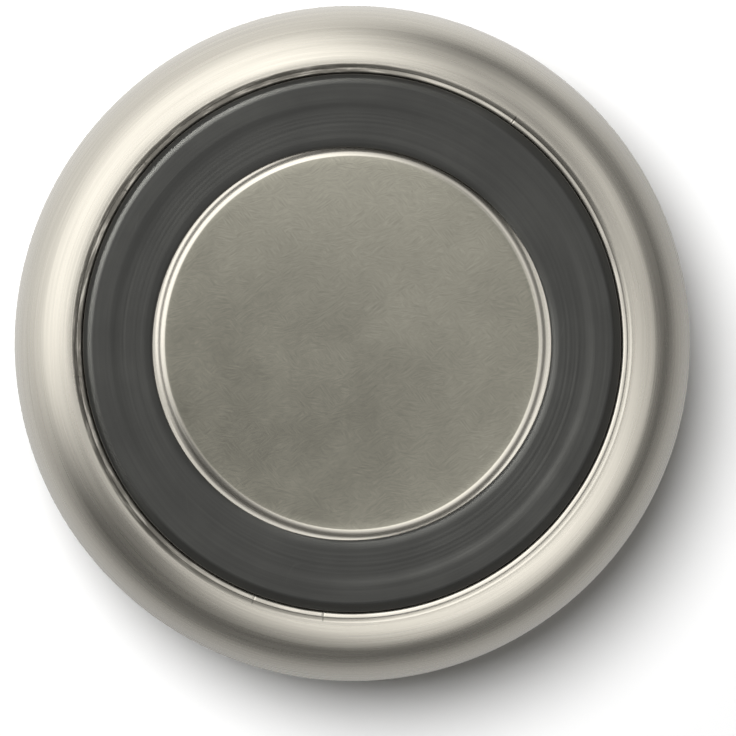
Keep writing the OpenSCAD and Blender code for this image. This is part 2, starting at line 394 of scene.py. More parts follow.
def waver(t, seed, lowest, highest):
    """A sum of sines round the piece, from lowest to highest waves a turn, about 1 high."""
    pick = np.random.default_rng(seed)
    waves = np.arange(lowest, highest + 1)
    phase = pick.uniform(0, 2 * np.pi, len(waves))
    size = pick.uniform(0.5, 1, len(waves))
    total = sum(a * np.sin(n * t + b) for n, a, b in zip(waves, size, phase))
    return total / math.sqrt(np.sum(size**2) / 2)


# Angle of each tack weld on the ledge in degrees, with its strength
TACKS = ((126, 1.0), (-84, 0.7), (-69, 0.55), (-7, 0.4), (34, 0.35), (41, 0.3))


# ---- shader helpers

NOISE_LOW, NOISE_HIGH = 0.3, 0.7  # nearly all of a noise's values lie between these


class Nodes:
    """Places nodes in a tree, with inputs given as numbers, tuples or other nodes' sockets."""

    def __init__(self, tree):
        self.tree = tree

    def add(self, kind, inputs=None, **settings):
        """A node with its settings made and its inputs filled. Returns the node."""
        node = self.tree.nodes.new(kind)
        for key, value in settings.items():
            setattr(node, key, value)
        for key, value in (inputs or {}).items():
            self.put(value, node.inputs[key])
        return node

    def put(self, value, socket):
        """Links a socket, or writes a plain value into it."""
        if isinstance(value, bpy.types.NodeSocket):
            self.tree.links.new(value, socket)
        else:
            socket.default_value = value

    def math(self, operation, a, b=0.0, clamp=False):
        """One Math node's result."""
        node = self.add("ShaderNodeMath", {0: a, 1: b}, operation=operation, use_clamp=clamp)
        return node.outputs[0]

    def plus(self, a, b, clamp=False):
        """a + b."""
        return self.math("ADD", a, b, clamp)

    def minus(self, a, b):
        """a - b."""
        return self.math("SUBTRACT", a, b)

    def times(self, a, b):
        """a times b."""
        return self.math("MULTIPLY", a, b)

    def between(self, part, a, b):
        """The number at that part of the way from a to b: a + (b - a) part."""
        return self.plus(a, self.times(self.minus(b, a), part))

    def vector(self, operation, a, b=(0, 0, 0), result=0, **more):
        """One Vector Math node's result, the vector unless another is named."""
        inputs = {0: a, 1: b, **more}
        return self.add("ShaderNodeVectorMath", inputs, operation=operation).outputs[result]

    def scaled(self, a, scale):
        """A vector times a number."""
        return self.vector("SCALE", a, Scale=scale)

    def dot(self, a, b):
        """The dot product of two vectors."""
        return self.vector("DOT_PRODUCT", a, b, result="Value")

    def level(self, a):
        """A vector without its height."""
        return self.vector("MULTIPLY", a, (1, 1, 0))

    def around(self, a):
        """The level direction from the Z axis to a place."""
        return self.vector("NORMALIZE", self.level(a))

    def radius(self, a):
        """A place's distance from the Z axis."""
        return self.vector("LENGTH", self.level(a), result="Value")

    def join(self, **parts):
        """A vector from its parts X, Y and Z."""
        return self.add("ShaderNodeCombineXYZ", parts).outputs[0]

    def span(self, value, low, high, to_low=0.0, to_high=1.0, kind="SMOOTHSTEP"):
        """The value's place from low to high, eased into to_low to to_high."""
        node = self.add(
            "ShaderNodeMapRange",
            {"Value": value, "From Min": low, "From Max": high, "To Min": to_low, "To Max": to_high},
            interpolation_type=kind,
        )
        return node.outputs[0]

    def window(self, value, start, end):
        """Eases from 0 to 1 over the pair start, and back to 0 over the pair end."""
        return self.times(self.span(value, *start), self.span(value, *end, 1.0, 0.0))

    def spread(self, noise, to_low=0.0, to_high=1.0):
        """A noise's usual range spread evenly over to_low to to_high."""
        return self.span(noise, NOISE_LOW, NOISE_HIGH, to_low, to_high, "LINEAR")

    def noise(self, vector, scale, detail=2.0, roughness=0.5):
        """A noise value, about 0.5 on the whole."""
        node = self.add(
            "ShaderNodeTexNoise",
            {"Vector": vector, "Scale": scale, "Detail": detail, "Roughness": roughness},
        )
        return node.outputs[0]

    def mix(self, factor, a, b):
        """A colour between a and b."""
        node = self.add("ShaderNodeMix", {0: factor, 6: a, 7: b}, data_type="RGBA")
        return node.outputs[2]

    def blend(self, factor, a, b):
        """A shader between a and b."""
        return self.add("ShaderNodeMixShader", {0: factor, 1: a, 2: b}).outputs[0]

    def group(self, name, build, inputs):
        """A placed node group's outputs. It is built if the file has none of its name yet."""
        tree = bpy.data.node_groups.get(name) or build(name)
        return self.add("ShaderNodeGroup", inputs, node_tree=tree).outputs


def new_group(name, inputs, outputs):
    """An empty node group whose named sockets have a kind, "Float" or "Vector", and a default.

    Returns it with its node placer, its inputs to read from and its outputs to fill.
    """
    tree = bpy.data.node_groups.new(name, "ShaderNodeTree")
    for key, (kind, default) in inputs.items():
        socket = tree.interface.new_socket(key, in_out="INPUT", socket_type="NodeSocket" + kind)
        if default is not None:
            socket.default_value = default
    for key, kind in outputs.items():
        tree.interface.new_socket(key, in_out="OUTPUT", socket_type="NodeSocket" + kind)
    n = Nodes(tree)
    return tree, n, n.add("NodeGroupInput").outputs, n.add("NodeGroupOutput").inputs


BAND_STRETCH = (0.35, 0.35, 0.16)  # makes the bands longer and broader than the lines


def round_brushing(name):
    """Lines brushed round the bowl.

    Noise that is long round the piece and fine across it: its place is (cos t, sin t) times the
    piece's radius over the reach, and the run along the outline over the pitch.
    """
    tree, n, given, result = new_group(
        name,
        {
            "Position": ("Vector", None),
            "Run": ("Float", 0.0),
            "Pitch": ("Float", 0.0003),
            "Reach": ("Float", 0.03),
            "Across": ("Float", 0.08),
        },
        {"Lines": "Float", "Bands": "Float"},
    )
    turns = n.scaled(
        n.around(given["Position"]), n.math("DIVIDE", given["Across"], given["Reach"])
    )
    depth = n.join(Z=n.math("DIVIDE", given["Run"], given["Pitch"]))
    place = n.vector("ADD", turns, depth)
    n.put(n.noise(place, 1.0, detail=3.0, roughness=0.6), result["Lines"])
    wider = n.vector("MULTIPLY", place, BAND_STRETCH)
    n.put(n.noise(wider, 1.0), result["Bands"])
    return tree


STROKE_TURNS = (2.85, 0.15, 2.5, 0.9)  # headings of the satin strokes, in radians
STROKES_APART = 7.3  # keeps the four headings' noises unlike each other
STROKE_PATCHES = (180.0, 210.0)  # scales of the masks that choose between the headings
PATCH_SHIFT = (0.37, 0.11, 0)  # moves the second mask away from the first
PATCH_EDGE = (0.45, 0.55)  # values of a mask between which the heading changes
CLOUD_SCALE = 75.0


def mixed_brushing(name):
    """Short satin strokes in several directions.

    Four noises, each stretched along its own direction, take turns under two slow masks.
    """
    tree, n, given, result = new_group(
        name,
        {"Position": ("Vector", None), "Pitch": ("Float", 0.0003), "Reach": ("Float", 0.0026)},
        {"Strokes": "Float", "Clouds": "Float"},
    )
    position = given["Position"]
    strokes = []
    for k, turn in enumerate(STROKE_TURNS):
        c, s = math.cos(turn), math.sin(turn)
        along = n.math("DIVIDE", n.dot(position, (c, s, 0)), given["Reach"])
        across = n.math("DIVIDE", n.dot(position, (-s, c, 0)), given["Pitch"])
        place = n.join(X=along, Y=across, Z=STROKES_APART * k)
        strokes.append(n.noise(place, 1.0, roughness=0.6))
    elsewhere = n.vector("ADD", position, PATCH_SHIFT)
    first = n.span(n.noise(position, STROKE_PATCHES[0]), *PATCH_EDGE)
    second = n.span(n.noise(elsewhere, STROKE_PATCHES[1]), *PATCH_EDGE)
    pairs = [n.between(first, *strokes[:2]), n.between(first, *strokes[2:])]
    n.put(n.between(second, *pairs), result["Strokes"])
    n.put(n.noise(position, CLOUD_SCALE, detail=4.0, roughness=0.55), result["Clouds"])
    return tree


SCRATCH_STRETCH = (1.0, 0.22, 1.0)
SCRATCHED_SCALE = 90.0  # scale of the patches that have scratches
SCRATCHED_EDGE = (0.56, 0.66)  # values between which such a patch starts


def fine_scratches(name):
    """A few hair scratches: thin lines where a stretched, bent noise passes its middle value."""
    tree, n, given, result = new_group(
        name,
        {"Position": ("Vector", None), "Scale": ("Float", 60.0), "Width": ("Float", 0.004)},
        {"Scratches": "Float"},
    )
    sideways = n.vector("MULTIPLY", given["Position"], SCRATCH_STRETCH)
    field = n.noise(sideways, given["Scale"], detail=1.0, roughness=0.4)
    off = n.math("ABSOLUTE", n.minus(field, 0.5))
    line_mask = n.minus(1.0, n.math("DIVIDE", off, given["Width"], clamp=True))
    where = n.span(n.noise(given["Position"], SCRATCHED_SCALE), *SCRATCHED_EDGE)
    n.put(n.times(line_mask, where), result["Scratches"])
    return tree


def tack_tint(name):
    """A thin line across the ledge at one heading: 1 on the heading's half line, 0 away from it."""
    tree, n, given, result = new_group(
        name,
        {"Position": ("Vector", None), "Heading": ("Vector", None), "Width": ("Float", 0.0003)},
        {"Line": "Float"},
    )
    aside = n.vector("CROSS_PRODUCT", given["Heading"], given["Position"])
    off = n.math("ABSOLUTE", n.dot(aside, (0, 0, 1)))
    near = n.span(off, 0.0, given["Width"], 1.0, 0.0)
    same_side = n.math("GREATER_THAN", n.dot(given["Position"], given["Heading"]), 0.0)
    n.put(n.times(near, same_side), result["Line"])
    return tree


def new_material(name):
    """A new material. Returns it with its node placer, its Principled shader's inputs, and
    sockets that give the place on the piece and the run along its outline."""
    material = bpy.data.materials.new(name)
    material.use_nodes = True
    n = Nodes(material.node_tree)
    shader = material.node_tree.nodes["Principled BSDF"].inputs
    position = n.add("ShaderNodeTexCoord").outputs["Object"]
    run = n.add("ShaderNodeAttribute", attribute_name=ALONG).outputs["Fac"]
    return material, n, shader, position, run


def level(angle):
    """A level unit vector."""
    return (math.cos(angle), math.sin(angle), 0)


def opaque(tint):
    """The tint with full opacity."""
    return (*tint, 1)


def shades(tint, darker, lighter):
    """The tint made darker, and made lighter."""
    return [opaque(min(1, c * by) for c in tint) for by in (darker, lighter)]


def round_lines(n, position, run, pitch, reach):
    """The lines and bands of the round brushing."""
    inputs = {"Position": position, "Run": run, "Pitch": pitch, "Reach": reach}
    brush = n.group("Round brushing", round_brushing, inputs)
    return brush["Lines"], brush["Bands"]


def bumps(n, shader, height, distance, strength=1.0):
    """Makes the surface look uneven by a height."""
    inputs = {"Height": height, "Distance": distance, "Strength": strength}
    n.put(n.add("ShaderNodeBump", inputs).outputs[0], shader["Normal"])


def steel(n, shader, stretch, turn=0.0):
    """Makes it metal, with highlights stretched along or across the lines round the Z axis."""
    shader["Metallic"].default_value = 1
    shader["Anisotropic"].default_value = stretch
    shader["Anisotropic Rotation"].default_value = turn
    tangent = n.add("ShaderNodeTangent", direction_type="RADIAL", axis="Z")
    n.put(tangent.outputs[0], shader["Tangent"])


# ---- materials

SHADE_AT = math.radians(22)  # the side of the ledge and the shell's lip with the most painted shade
SHADE_SIDE = (-0.15, 0.45)  # cosines from that side between which the painted shade sets in
SHADE_TURNS, SHADE_DEPTHS = 9.0, 1600.0  # scales of the painted shade's patches round the bowl and across the ledge
SHADE_PATCH = (0.3, 0.55, 0.35, 1.0)  # the patches' noise from and to, and how much painted shade they give at either
SEAM_DULL = 0.6  # how dark the seam itself is
SEAM_REACH = 0.0003  # how far the seam's dullness reaches to either side
DULL_FADE = 0.0002  # half the width over which the weld marks and painted shade start and end
DULL_ROUGH = 0.15  # what the weld marks and painted shade add to the roughness
LEDGE_AFTER = 0.0003  # the ledge's weld marks and painted shade start this far out of the channel
FOOT_SHADE = (-0.0005, -0.0003), (0.0001, 0.0003)  # edges of the painted shade in the gap at the channel's outer foot
SHELL_WELD_AND_SHADE = (0.0004, 0.00025)  # how far inside the seam and the lip the shell's weld marks and painted shade start and end

BUMP_DEPTHS = 6  # distance of the bump in brush depths, as a noise fills only part of its range
BUMP_STRENGTH = 0.6
WALL_SHADES, DISC_SHADES = (0.93, 1.05), (0.86, 1.14)  # darkest and lightest part of a tint
BAND_HEIGHT = 0.5  # height of the wall's broad bands over that of its fine lines
WALL_ROUGH, WALL_SWING = 0.27, 0.03  # the wall's roughness, and how far it goes up and down
WALL_STRETCH, WALL_TURN = 0.45, 0.25  # its stretched highlights, a quarter turn off the lines
BRIM_POLISH = 0.55  # what the brim's polish leaves of the roughness
BRIM_FADE = (0.002, 0.001)  # how far before and after the food face's end the polish sets in

DISC_EDGE = (0.0004, 0.0007)  # how far inside and outside the disc's rim the satin ends
STROKE_SHARE = 0.8  # share of the strokes in the disc's tone; the clouds have the rest
STROKE_HEIGHT, POLISH_HEIGHT = 0.05, 0.4  # height of the strokes and of the step's fine lines
POLISH_PITCH = 0.00025  # distance between the step's fine lines
DISC_ROUGH, STEP_ROUGH = (0.11, 0.13), (0.22, 0.28)
PAN_STRETCH = 0.2

MOULD_PITCH, MOULD_REACH = 0.0006, 0.05  # the silicone's faint round lines
FILM_SCALE = 55.0  # scale of the dust's clouds
FILM = (0.35, 0.75, 0.0, 0.45)  # the clouds' noise from and to, and how dusty it is at either
SCRATCH_DUST = 0.3  # how dusty a scratch looks
RUBBER_ROUGH, DUST_ROUGH = (0.46, 0.54), 0.12
MOULD_DEPTH, MOULD_STRENGTH = 0.00003, 0.5
RUBBER_IOR = 1.41

BOND_SCALE, BOND_BLOTS = 400.0, (0.35, 0.65)  # of its noise: scale, and values from and to
BOND_SHADES, BOND_ROUGH = (0.85, 1.1), (0.6, 0.75)
BOND_DEPTH = 0.00005


def weld_marks_and_painted_shade(n, position, radius, start, seam, end):
    """How much the steel is darkened between two radii, by weld marks and painted shade.

    The painted shade is patches on one side of the bowl; the weld marks are a line at each tack and a
    line along the seam.
    """
    around = n.around(position)
    # Painted shade: noise patches that darken one side of the ledge and of the shell's lip
    side = n.span(n.dot(around, level(SHADE_AT)), *SHADE_SIDE)
    place = n.vector("ADD", n.scaled(around, SHADE_TURNS), n.join(Z=n.times(radius, SHADE_DEPTHS)))
    shade_patch = n.noise(place, 1.0, detail=3.0, roughness=0.65)
    weld_mark_and_shade = n.times(side, n.span(shade_patch, *SHADE_PATCH))
    for turn, strength in TACKS:
        inputs = {"Position": position, "Heading": level(math.radians(turn))}
        mark = n.group("Tack tint", tack_tint, inputs)["Line"]
        weld_mark_and_shade = n.plus(weld_mark_and_shade, n.times(mark, strength), clamp=True)
    off_seam = n.math("ABSOLUTE", n.minus(radius, seam))
    weld_mark_and_shade = n.math("MAXIMUM", weld_mark_and_shade, n.span(off_seam, 0.0, SEAM_REACH, SEAM_DULL, 0.0))
    start, end = [(at - DULL_FADE, at + DULL_FADE) for at in (start, end)]
    return n.times(weld_mark_and_shade, n.window(radius, start, end))


def brushed_steel(looks, name, polish=None, weld=None):
    """Steel brushed round the bowl, with long soft highlights across the lines.

    polish is the run along the outline from and to which the sheet is polished smoother, and weld the
    radii where the weld marks and painted shade start, where the seam lies, and where they end.
    """
    material, n, shader, position, run = new_material(name)
    lines, bands = round_lines(n, position, run, looks.brush_pitch, looks.brush_reach)
    tone = n.spread(n.plus(lines, n.minus(bands, 0.5)))
    tint = n.mix(tone, *shades(looks.wall_steel, *WALL_SHADES))
    if weld:
        # Weld marks, and painted shade on one side of the shell's lip
        weld_mark_and_shade = weld_marks_and_painted_shade(n, position, n.radius(position), *weld)
        tint = n.mix(weld_mark_and_shade, tint, opaque(looks.weld_tint_and_shade))
    n.put(tint, shader["Base Color"])
    rough = n.spread(bands, WALL_ROUGH - WALL_SWING, WALL_ROUGH + WALL_SWING)
    if polish:
        rough = n.times(rough, n.span(run, *polish, 1.0, BRIM_POLISH))
    n.put(rough, shader["Roughness"])
    height = n.plus(lines, n.times(bands, BAND_HEIGHT))
    bumps(n, shader, height, looks.brush_depth * BUMP_DEPTHS, BUMP_STRENGTH)
    steel(n, shader, WALL_STRETCH, WALL_TURN)
    return material


def pressed_steel(looks, sizes, base):
    """Steel of the base pan: a satin centre disc, a polished step, a channel with painted shade in the
    gap at its outer foot, and a ledge with weld marks and painted shade on one side."""
    material, n, shader, position, run = new_material("pan_satin_steel")
    radius = n.radius(position)
    rim = sizes.disc_radius
    satin = n.span(radius, rim - DISC_EDGE[0], rim + DISC_EDGE[1], 1.0, 0.0)
    brush = n.group("Mixed brushing", mixed_brushing, {"Position": position})
    strokes, clouds = brush["Strokes"], brush["Clouds"]
    lines, _ = round_lines(n, position, run, POLISH_PITCH, looks.brush_reach)
    tone = n.plus(n.times(strokes, STROKE_SHARE), n.times(clouds, 1 - STROKE_SHARE))
    disc = n.mix(n.spread(tone), *shades(looks.disc_steel, *DISC_SHADES))
    tint = n.mix(satin, opaque(looks.step_steel), disc)
    # Weld marks, and painted shade on one side of the ledge
    weld_mark_and_shade = weld_marks_and_painted_shade(
        n, position, radius, base.channel_out + LEDGE_AFTER, base.pan_edge[0], base.lip[0]
    )
    # Painted shade in the gap between the ring and the channel's outer foot
    foot = [[base.channel_out + off for off in edge] for edge in FOOT_SHADE]
    weld_mark_and_shade = n.math("MAXIMUM", weld_mark_and_shade, n.window(radius, *foot))
    n.put(n.mix(weld_mark_and_shade, tint, opaque(looks.weld_tint_and_shade)), shader["Base Color"])
    rough = n.between(satin, n.spread(lines, *STEP_ROUGH), n.spread(clouds, *DISC_ROUGH))
    n.put(n.plus(rough, n.times(weld_mark_and_shade, DULL_ROUGH)), shader["Roughness"])
    height = n.plus(
        n.times(n.times(strokes, satin), STROKE_HEIGHT),
        n.times(lines, n.minus(POLISH_HEIGHT, n.times(satin, POLISH_HEIGHT))),
    )
    bumps(n, shader, height, looks.brush_depth * BUMP_DEPTHS, BUMP_STRENGTH)
    steel(n, shader, PAN_STRETCH)
    return material


def silicone_rubber(looks):
    """Dark satin silicone, with faint round moulding lines, a little dust and hair scratches."""
    material, n, shader, position, run = new_material("ring_silicone")
    lines, bands = round_lines(n, position, run, MOULD_PITCH, MOULD_REACH)
    scratched = n.group("Fine scratches", fine_scratches, {"Position": position})
    clouds = n.noise(position, FILM_SCALE, detail=4.0, roughness=0.6)
    film = n.plus(n.times(lines, 0.5), n.times(clouds, 0.5))
    scratches = n.times(scratched["Scratches"], SCRATCH_DUST)
    dust = n.plus(n.span(film, *FILM), scratches)
    n.put(n.mix(dust, opaque(looks.silicone), opaque(looks.silicone_dust)), shader["Base Color"])
    rough = n.spread(bands, *RUBBER_ROUGH)
    n.put(n.plus(rough, n.times(dust, DUST_ROUGH)), shader["Roughness"])
    bumps(n, shader, lines, MOULD_DEPTH, MOULD_STRENGTH)
    shader["IOR"].default_value = RUBBER_IOR
    return material


def cured_adhesive(looks):
    """Matte grey adhesive with a faint unevenness."""
    material, n, shader, position, _ = new_material("bond_adhesive")
    blot = n.noise(position, BOND_SCALE, detail=3.0, roughness=0.6)
    tint = n.mix(n.span(blot, *BOND_BLOTS), *shades(looks.adhesive, *BOND_SHADES))
    n.put(tint, shader["Base Color"])
    n.put(n.span(blot, NOISE_LOW, NOISE_HIGH, *BOND_ROUGH), shader["Roughness"])
    bumps(n, shader, blot, BOND_DEPTH)
    return material


# ---- pieces


def settings():
    """The scene's bowl, base, looks and studio settings, and the places worked out from them."""
    scene = bpy.context.scene
    base = base_places(scene.base_sizes)
    wall = wall_places(scene.bowl_sizes, base, scene.base_sizes.pan_sheet)
    return SimpleNamespace(
        bowl=scene.bowl_sizes,
        foot=scene.base_sizes,
        looks=scene.bowl_looks,
        studio=scene.studio_settings,
        base=base,
        wall=wall,
    )


def finish_piece(piece, material, node):
    """Gives a piece its material, and sets it in the frame in the place of a CAD node."""
    piece.data.materials.append(material)
    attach(piece, "root")
    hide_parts(node)


class BOWL_OT_inner_bowl(Operator):
    """Spin the deep-drawn inner bowl with its rolled brim"""

    bl_idname = "bowl.inner_bowl"
    bl_label = "Inner bowl"

    def execute(self, context):
        g = settings()
        s, p = g.bowl, g.wall
        food_face = chain(
            line((0, p.floor_z), (p.corner[0], p.floor_z), steps=12),
            arc(p.corner, s.corner_radius, -math.pi / 2, -s.wall_draft, steps=40),
            line(p.corner + s.corner_radius * p.wall_out, p.wall_top, steps=6),
        )
        food_face[0, 0] = 0
        roll = chain(
            arc(p.brim, s.brim_radius, math.pi - s.wall_draft, math.pi / 2, steps=20),
            arc(p.brim, s.brim_radius, math.pi / 2, p.brim_tip, steps=20),
        )
        thinned = brim_arc(s, p, -s.lap_gap, p.brim_tip, p.joggle_end)
        inside_roll = arc(
            p.brim, s.brim_radius - s.liner_sheet, p.joggle_end, math.pi - s.wall_draft, steps=30
        )
        underside = other_face(food_face, -s.liner_sheet)[::-1]
        underside[-1, 0] = 0
        outline = np.concatenate(
            [chain(food_face, roll), chain(thinned, inside_roll, underside)]
        )
        piece = turned("inner_bowl_spun", outline, even_columns(g.studio.turns))
        run = np.sum(np.linalg.norm(np.diff(food_face, axis=0), axis=1))
        brim = (run - BRIM_FADE[0], run + BRIM_FADE[1])
        material = brushed_steel(g.looks, "liner_brushed_steel", polish=brim)
        finish_piece(piece, material, "inner_bowl")
        return {"FINISHED"}


class BOWL_OT_outer_shell(Operator):
    """Spin the barrel-shaped outer shell, from its turned-in lip to the edge under the brim"""

    bl_idname = "bowl.outer_shell"
    bl_label = "Outer shell"

    def execute(self, context):
        g = settings()
        s, f, p, b = g.bowl, g.foot, g.wall, g.base
        lower = (b.lip[0], s.belly_height), p.belly - b.lip[0], s.belly_height - f.lip_height
        path = chain(
            line(b.lip_edge, b.lip_turned, steps=6),
            arc(b.lip, f.lip_bend, 1.5 * math.pi - f.lip_turn, 1.5 * math.pi, steps=20),
            oval(*lower, -math.pi / 2, 0, steps=64),
            oval(p.shoulder, s.shoulder_width, p.shoulder_height, 0, p.shoulder_end, steps=48),
        )
        tuck_end = p.joggle_end + s.tuck
        outside = chain(
            path,
            brim_arc(s, p, 0, s.brim_end, p.joggle_end),
            brim_arc(s, p, 0, p.joggle_end, tuck_end, steps=8),
        )
        inside = chain(
            brim_arc(s, p, s.shell_sheet, tuck_end, p.joggle_end, steps=8),
            brim_arc(s, p, s.shell_sheet, p.joggle_end, s.brim_end),
            other_face(path, s.shell_sheet)[::-1],
        )
        outline = np.concatenate([outside, inside])
        piece = turned("outer_shell_spun", outline, even_columns(g.studio.turns))
        # Radii of the weld marks and of the painted shade on the shell's lip
        weld = (b.pan_edge[0] - SHELL_WELD_AND_SHADE[0], b.pan_edge[0], b.lip[0] - SHELL_WELD_AND_SHADE[1])
        material = brushed_steel(g.looks, "shell_brushed_steel", weld=weld)
        finish_piece(piece, material, "outer_shell")
        return {"FINISHED"}


class BOWL_OT_base_pan(Operator):
    """Press the base pan: centre disc, curved step, channel, and ledge with its tack marks"""

    bl_idname = "bowl.base_pan"
    bl_label = "Base pan"

    def execute(self, context):
        g = settings()
        f, b = g.foot, g.base
        path = chain(
            line((0, f.disc_height), (f.disc_radius, f.disc_height), steps=24),
            ramp((f.disc_radius, f.disc_height), (b.channel_in, b.channel_z), steps=40, rise=step_ease),
            line((b.channel_in, b.channel_z), (b.channel_out, b.channel_out_z), steps=6),
            arc(b.fillet, f.channel_fillet, math.pi / 2, math.pi / 2 - b.lean, steps=10),
            arc(b.ledge, f.ledge_bend, 1.5 * math.pi - b.lean, 1.5 * math.pi - f.ledge_tilt, steps=28),
            line(b.ledge_start, b.pan_edge, steps=8),
        )
        top = other_face(path, f.pan_sheet)[::-1]
        top[-1, 0] = 0
        marks = [(math.radians(a), depth) for a, depth in TACKS]

        def bend(r, h, t):
            """The ledge's lower face wavers a little and has a dent at each tack weld.

            The dent is depth exp(-(2 across / width)^2), with across the distance from the mark.
            """
            low = np.clip((b.channel_out_z - h) / f.ledge_rise, 0, 1) * (r > b.channel_out)
            off = f.ledge_waver * waver(t, seed=11, lowest=9, highest=40)
            for place, depth in marks:
                across = b.ledge[0] * ((t - place + np.pi) % (2 * np.pi) - np.pi)
                off = off + f.tack_depth * depth * np.exp(-((2 * across / f.tack_width) ** 2))
            return r, h + off * low

        outline = np.concatenate([path, top])
        columns = even_columns(g.studio.turns, [place for place, _ in marks])
        piece = turned("base_pan_pressed", outline, columns, bend)
        finish_piece(piece, pressed_steel(g.looks, f, b), "base_pan")
        return {"FINISHED"}


# Waves a turn, height and phase of the slow waves that pull the ring's inner edge off a circle.
# They fade out over one part in EDGE_PARTS of the ring's width.
EDGE_WAVES = ((1, 0.00032, 51.3), (2, 0.00034, 5.9), (3, 0.00018, 164.8), (4, 0.00007, 49.7))
EDGE_PARTS = 3
RIPPLE_PITCHES = 0.0011, 0.00187  # of the two sets of faint moulding rings
RIPPLE_SHARE = 0.7  # height of the second set, as a share of the first
RIPPLE_OFF = 2  # how far the second set lies off the axis, in radians of its waves
RIPPLE_FADE = 0.001  # length over which the rings start and end


class BOWL_OT_ring(Operator):
    """Mould the silicone ring, with its raised band and round shoulder"""

    bl_idname = "bowl.ring"
    bl_label = "Silicone ring"

    def execute(self, context):
        g = settings()
        f, b = g.foot, g.base
        inner = b.channel_in + f.ring_gap
        face_in = inner + f.ring_inner
        outer = b.channel_out - f.ring_gap + f.ring_reach
        corner = outer - f.ring_corner
        back_in = floor_at(f, b, inner) - f.bond
        side = floor_at(f, b, corner) - f.bond - f.ring_corner
        edge_z = back_in - f.ring_corner
        bend_in, bend_out = math.sin(f.ring_slope), 1 - math.cos(f.ring_slope)
        land_out = (
            outer
            - f.ring_shoulder * bend_in
            - (side - f.ring_shoulder * bend_out) / math.tan(f.ring_slope)
        )
        land_in = land_out - f.land_width
        slope_in = land_in - f.land_slope
        rounding = (face_in, edge_z), f.ring_inner, edge_z - f.land_height
        shoulder = (land_out, f.ring_shoulder), f.ring_shoulder
        shoulder_end = land_out + f.ring_shoulder * bend_in, f.ring_shoulder * bend_out
        outline = chain(
            line((inner, back_in), (inner, edge_z), steps=2),
            oval(*rounding, math.pi, 1.5 * math.pi, steps=24),
            line((face_in, f.land_height), (slope_in, f.land_height), steps=60),
            ramp((slope_in, f.land_height), (land_in, 0), steps=12),
            line((land_in, 0), (land_out, 0), steps=24),
            arc(*shoulder, -math.pi / 2, f.ring_slope - math.pi / 2, steps=20),
            line(shoulder_end, (outer, side), steps=10),
            arc((corner, side), f.ring_corner, 0, math.pi / 2, steps=8),
            line((corner, side + f.ring_corner), (inner, back_in), steps=40)[:-1],
        )

        def bend(r, h, t):
            """Faint moulding rings on the flat face, and an inner edge stretched off a true circle.

            The rings are ripple (sin of the radius over two pitches), the broader ones a little
            off the axis. The edge moves in and out by a few slow waves a turn, which fade out over
            the ring's inner third, and stays clear of the pan.
            """
            fine, broad = RIPPLE_PITCHES
            flat = np.clip((r - inner - f.ring_inner) / RIPPLE_FADE, 0, 1)
            flat = flat * np.clip((slope_in - r) / RIPPLE_FADE, 0, 1) * (h < edge_z / 2)
            wave = np.sin(2 * np.pi * r / fine)
            wave = wave + RIPPLE_SHARE * np.sin(2 * np.pi * r / broad + RIPPLE_OFF * np.sin(t))
            near = ease(np.clip(1 - (r - inner) / (outer - inner) * EDGE_PARTS, 0, 1))
            pull = sum(a * np.cos(n * t + math.radians(phase)) for n, a, phase in EDGE_WAVES)
            r = r + near * (pull - f.ring_inward)
            return r, np.minimum(h + f.ripple * flat * wave, floor_at(f, b, r) - f.bond / 2)

        piece = turned("non_slip_ring_moulded", outline, even_columns(g.studio.turns), bend)
        finish_piece(piece, silicone_rubber(g.looks), "non_slip_ring")
        return {"FINISHED"}


class BOWL_OT_bond(Operator):
    """Finish the adhesive bond, whose CAD shape stays"""

    bl_idname = "bowl.bond"
    bl_label = "Ring bond"

    def execute(self, context):
        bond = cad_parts["ring_bond"]
        bond.data.materials.clear()
        bond.data.materials.append(cured_adhesive(context.scene.bowl_looks))
        return {"FINISHED"}


# ---- stage


GROUND_GAP = 0.0002  # between the bowl and the tabletop or the floor
TABLE_RADIUS, FLOOR_RADIUS = 0.4, 4.0
FLOOR_FADE = (0.2, 0.6)  # distances between which the floor fades into plain white
MATT_WHITE = 0.85


def plane(name, z, radius, hole, material, facing_up):
    """A flat round plane with a round hole: rings of points x = r cos t, y = r sin t."""
    turns = 96
    t = np.arange(turns) * 2 * np.pi / turns
    radii = np.array([hole, radius])[:, None]
    points = np.stack([radii * np.cos(t), radii * np.sin(t), np.full((2, turns), z)], axis=-1)
    near = np.arange(turns)
    following = np.roll(near, -1)
    faces = np.stack([near, near + turns, following + turns, following], axis=-1)
    if not facing_up:
        faces = faces[:, ::-1]
    thing = mesh_piece(name, points.reshape(-1, 3), faces)
    thing.data.materials.append(material)
    return thing


def one_sided(name, fade=None):
    """A matt white surface that is clear from behind, and that fades into plain white far out."""
    material = bpy.data.materials.new(name)
    material.use_nodes = True
    tree = material.node_tree
    tree.nodes.clear()
    n = Nodes(tree)
    matt = n.add("ShaderNodeBsdfDiffuse", {"Color": opaque([MATT_WHITE] * 3)}).outputs[0]
    if fade:
        position = n.add("ShaderNodeTexCoord").outputs["Object"]
        white = n.add("ShaderNodeEmission", {"Strength": 1.0}).outputs[0]
        matt = n.blend(n.span(n.radius(position), *fade), matt, white)
    clear = n.add("ShaderNodeBsdfTransparent").outputs[0]
    behind = n.add("ShaderNodeNewGeometry").outputs["Backfacing"]
    n.add("ShaderNodeOutputMaterial", {"Surface": n.blend(behind, matt, clear)})
    return material


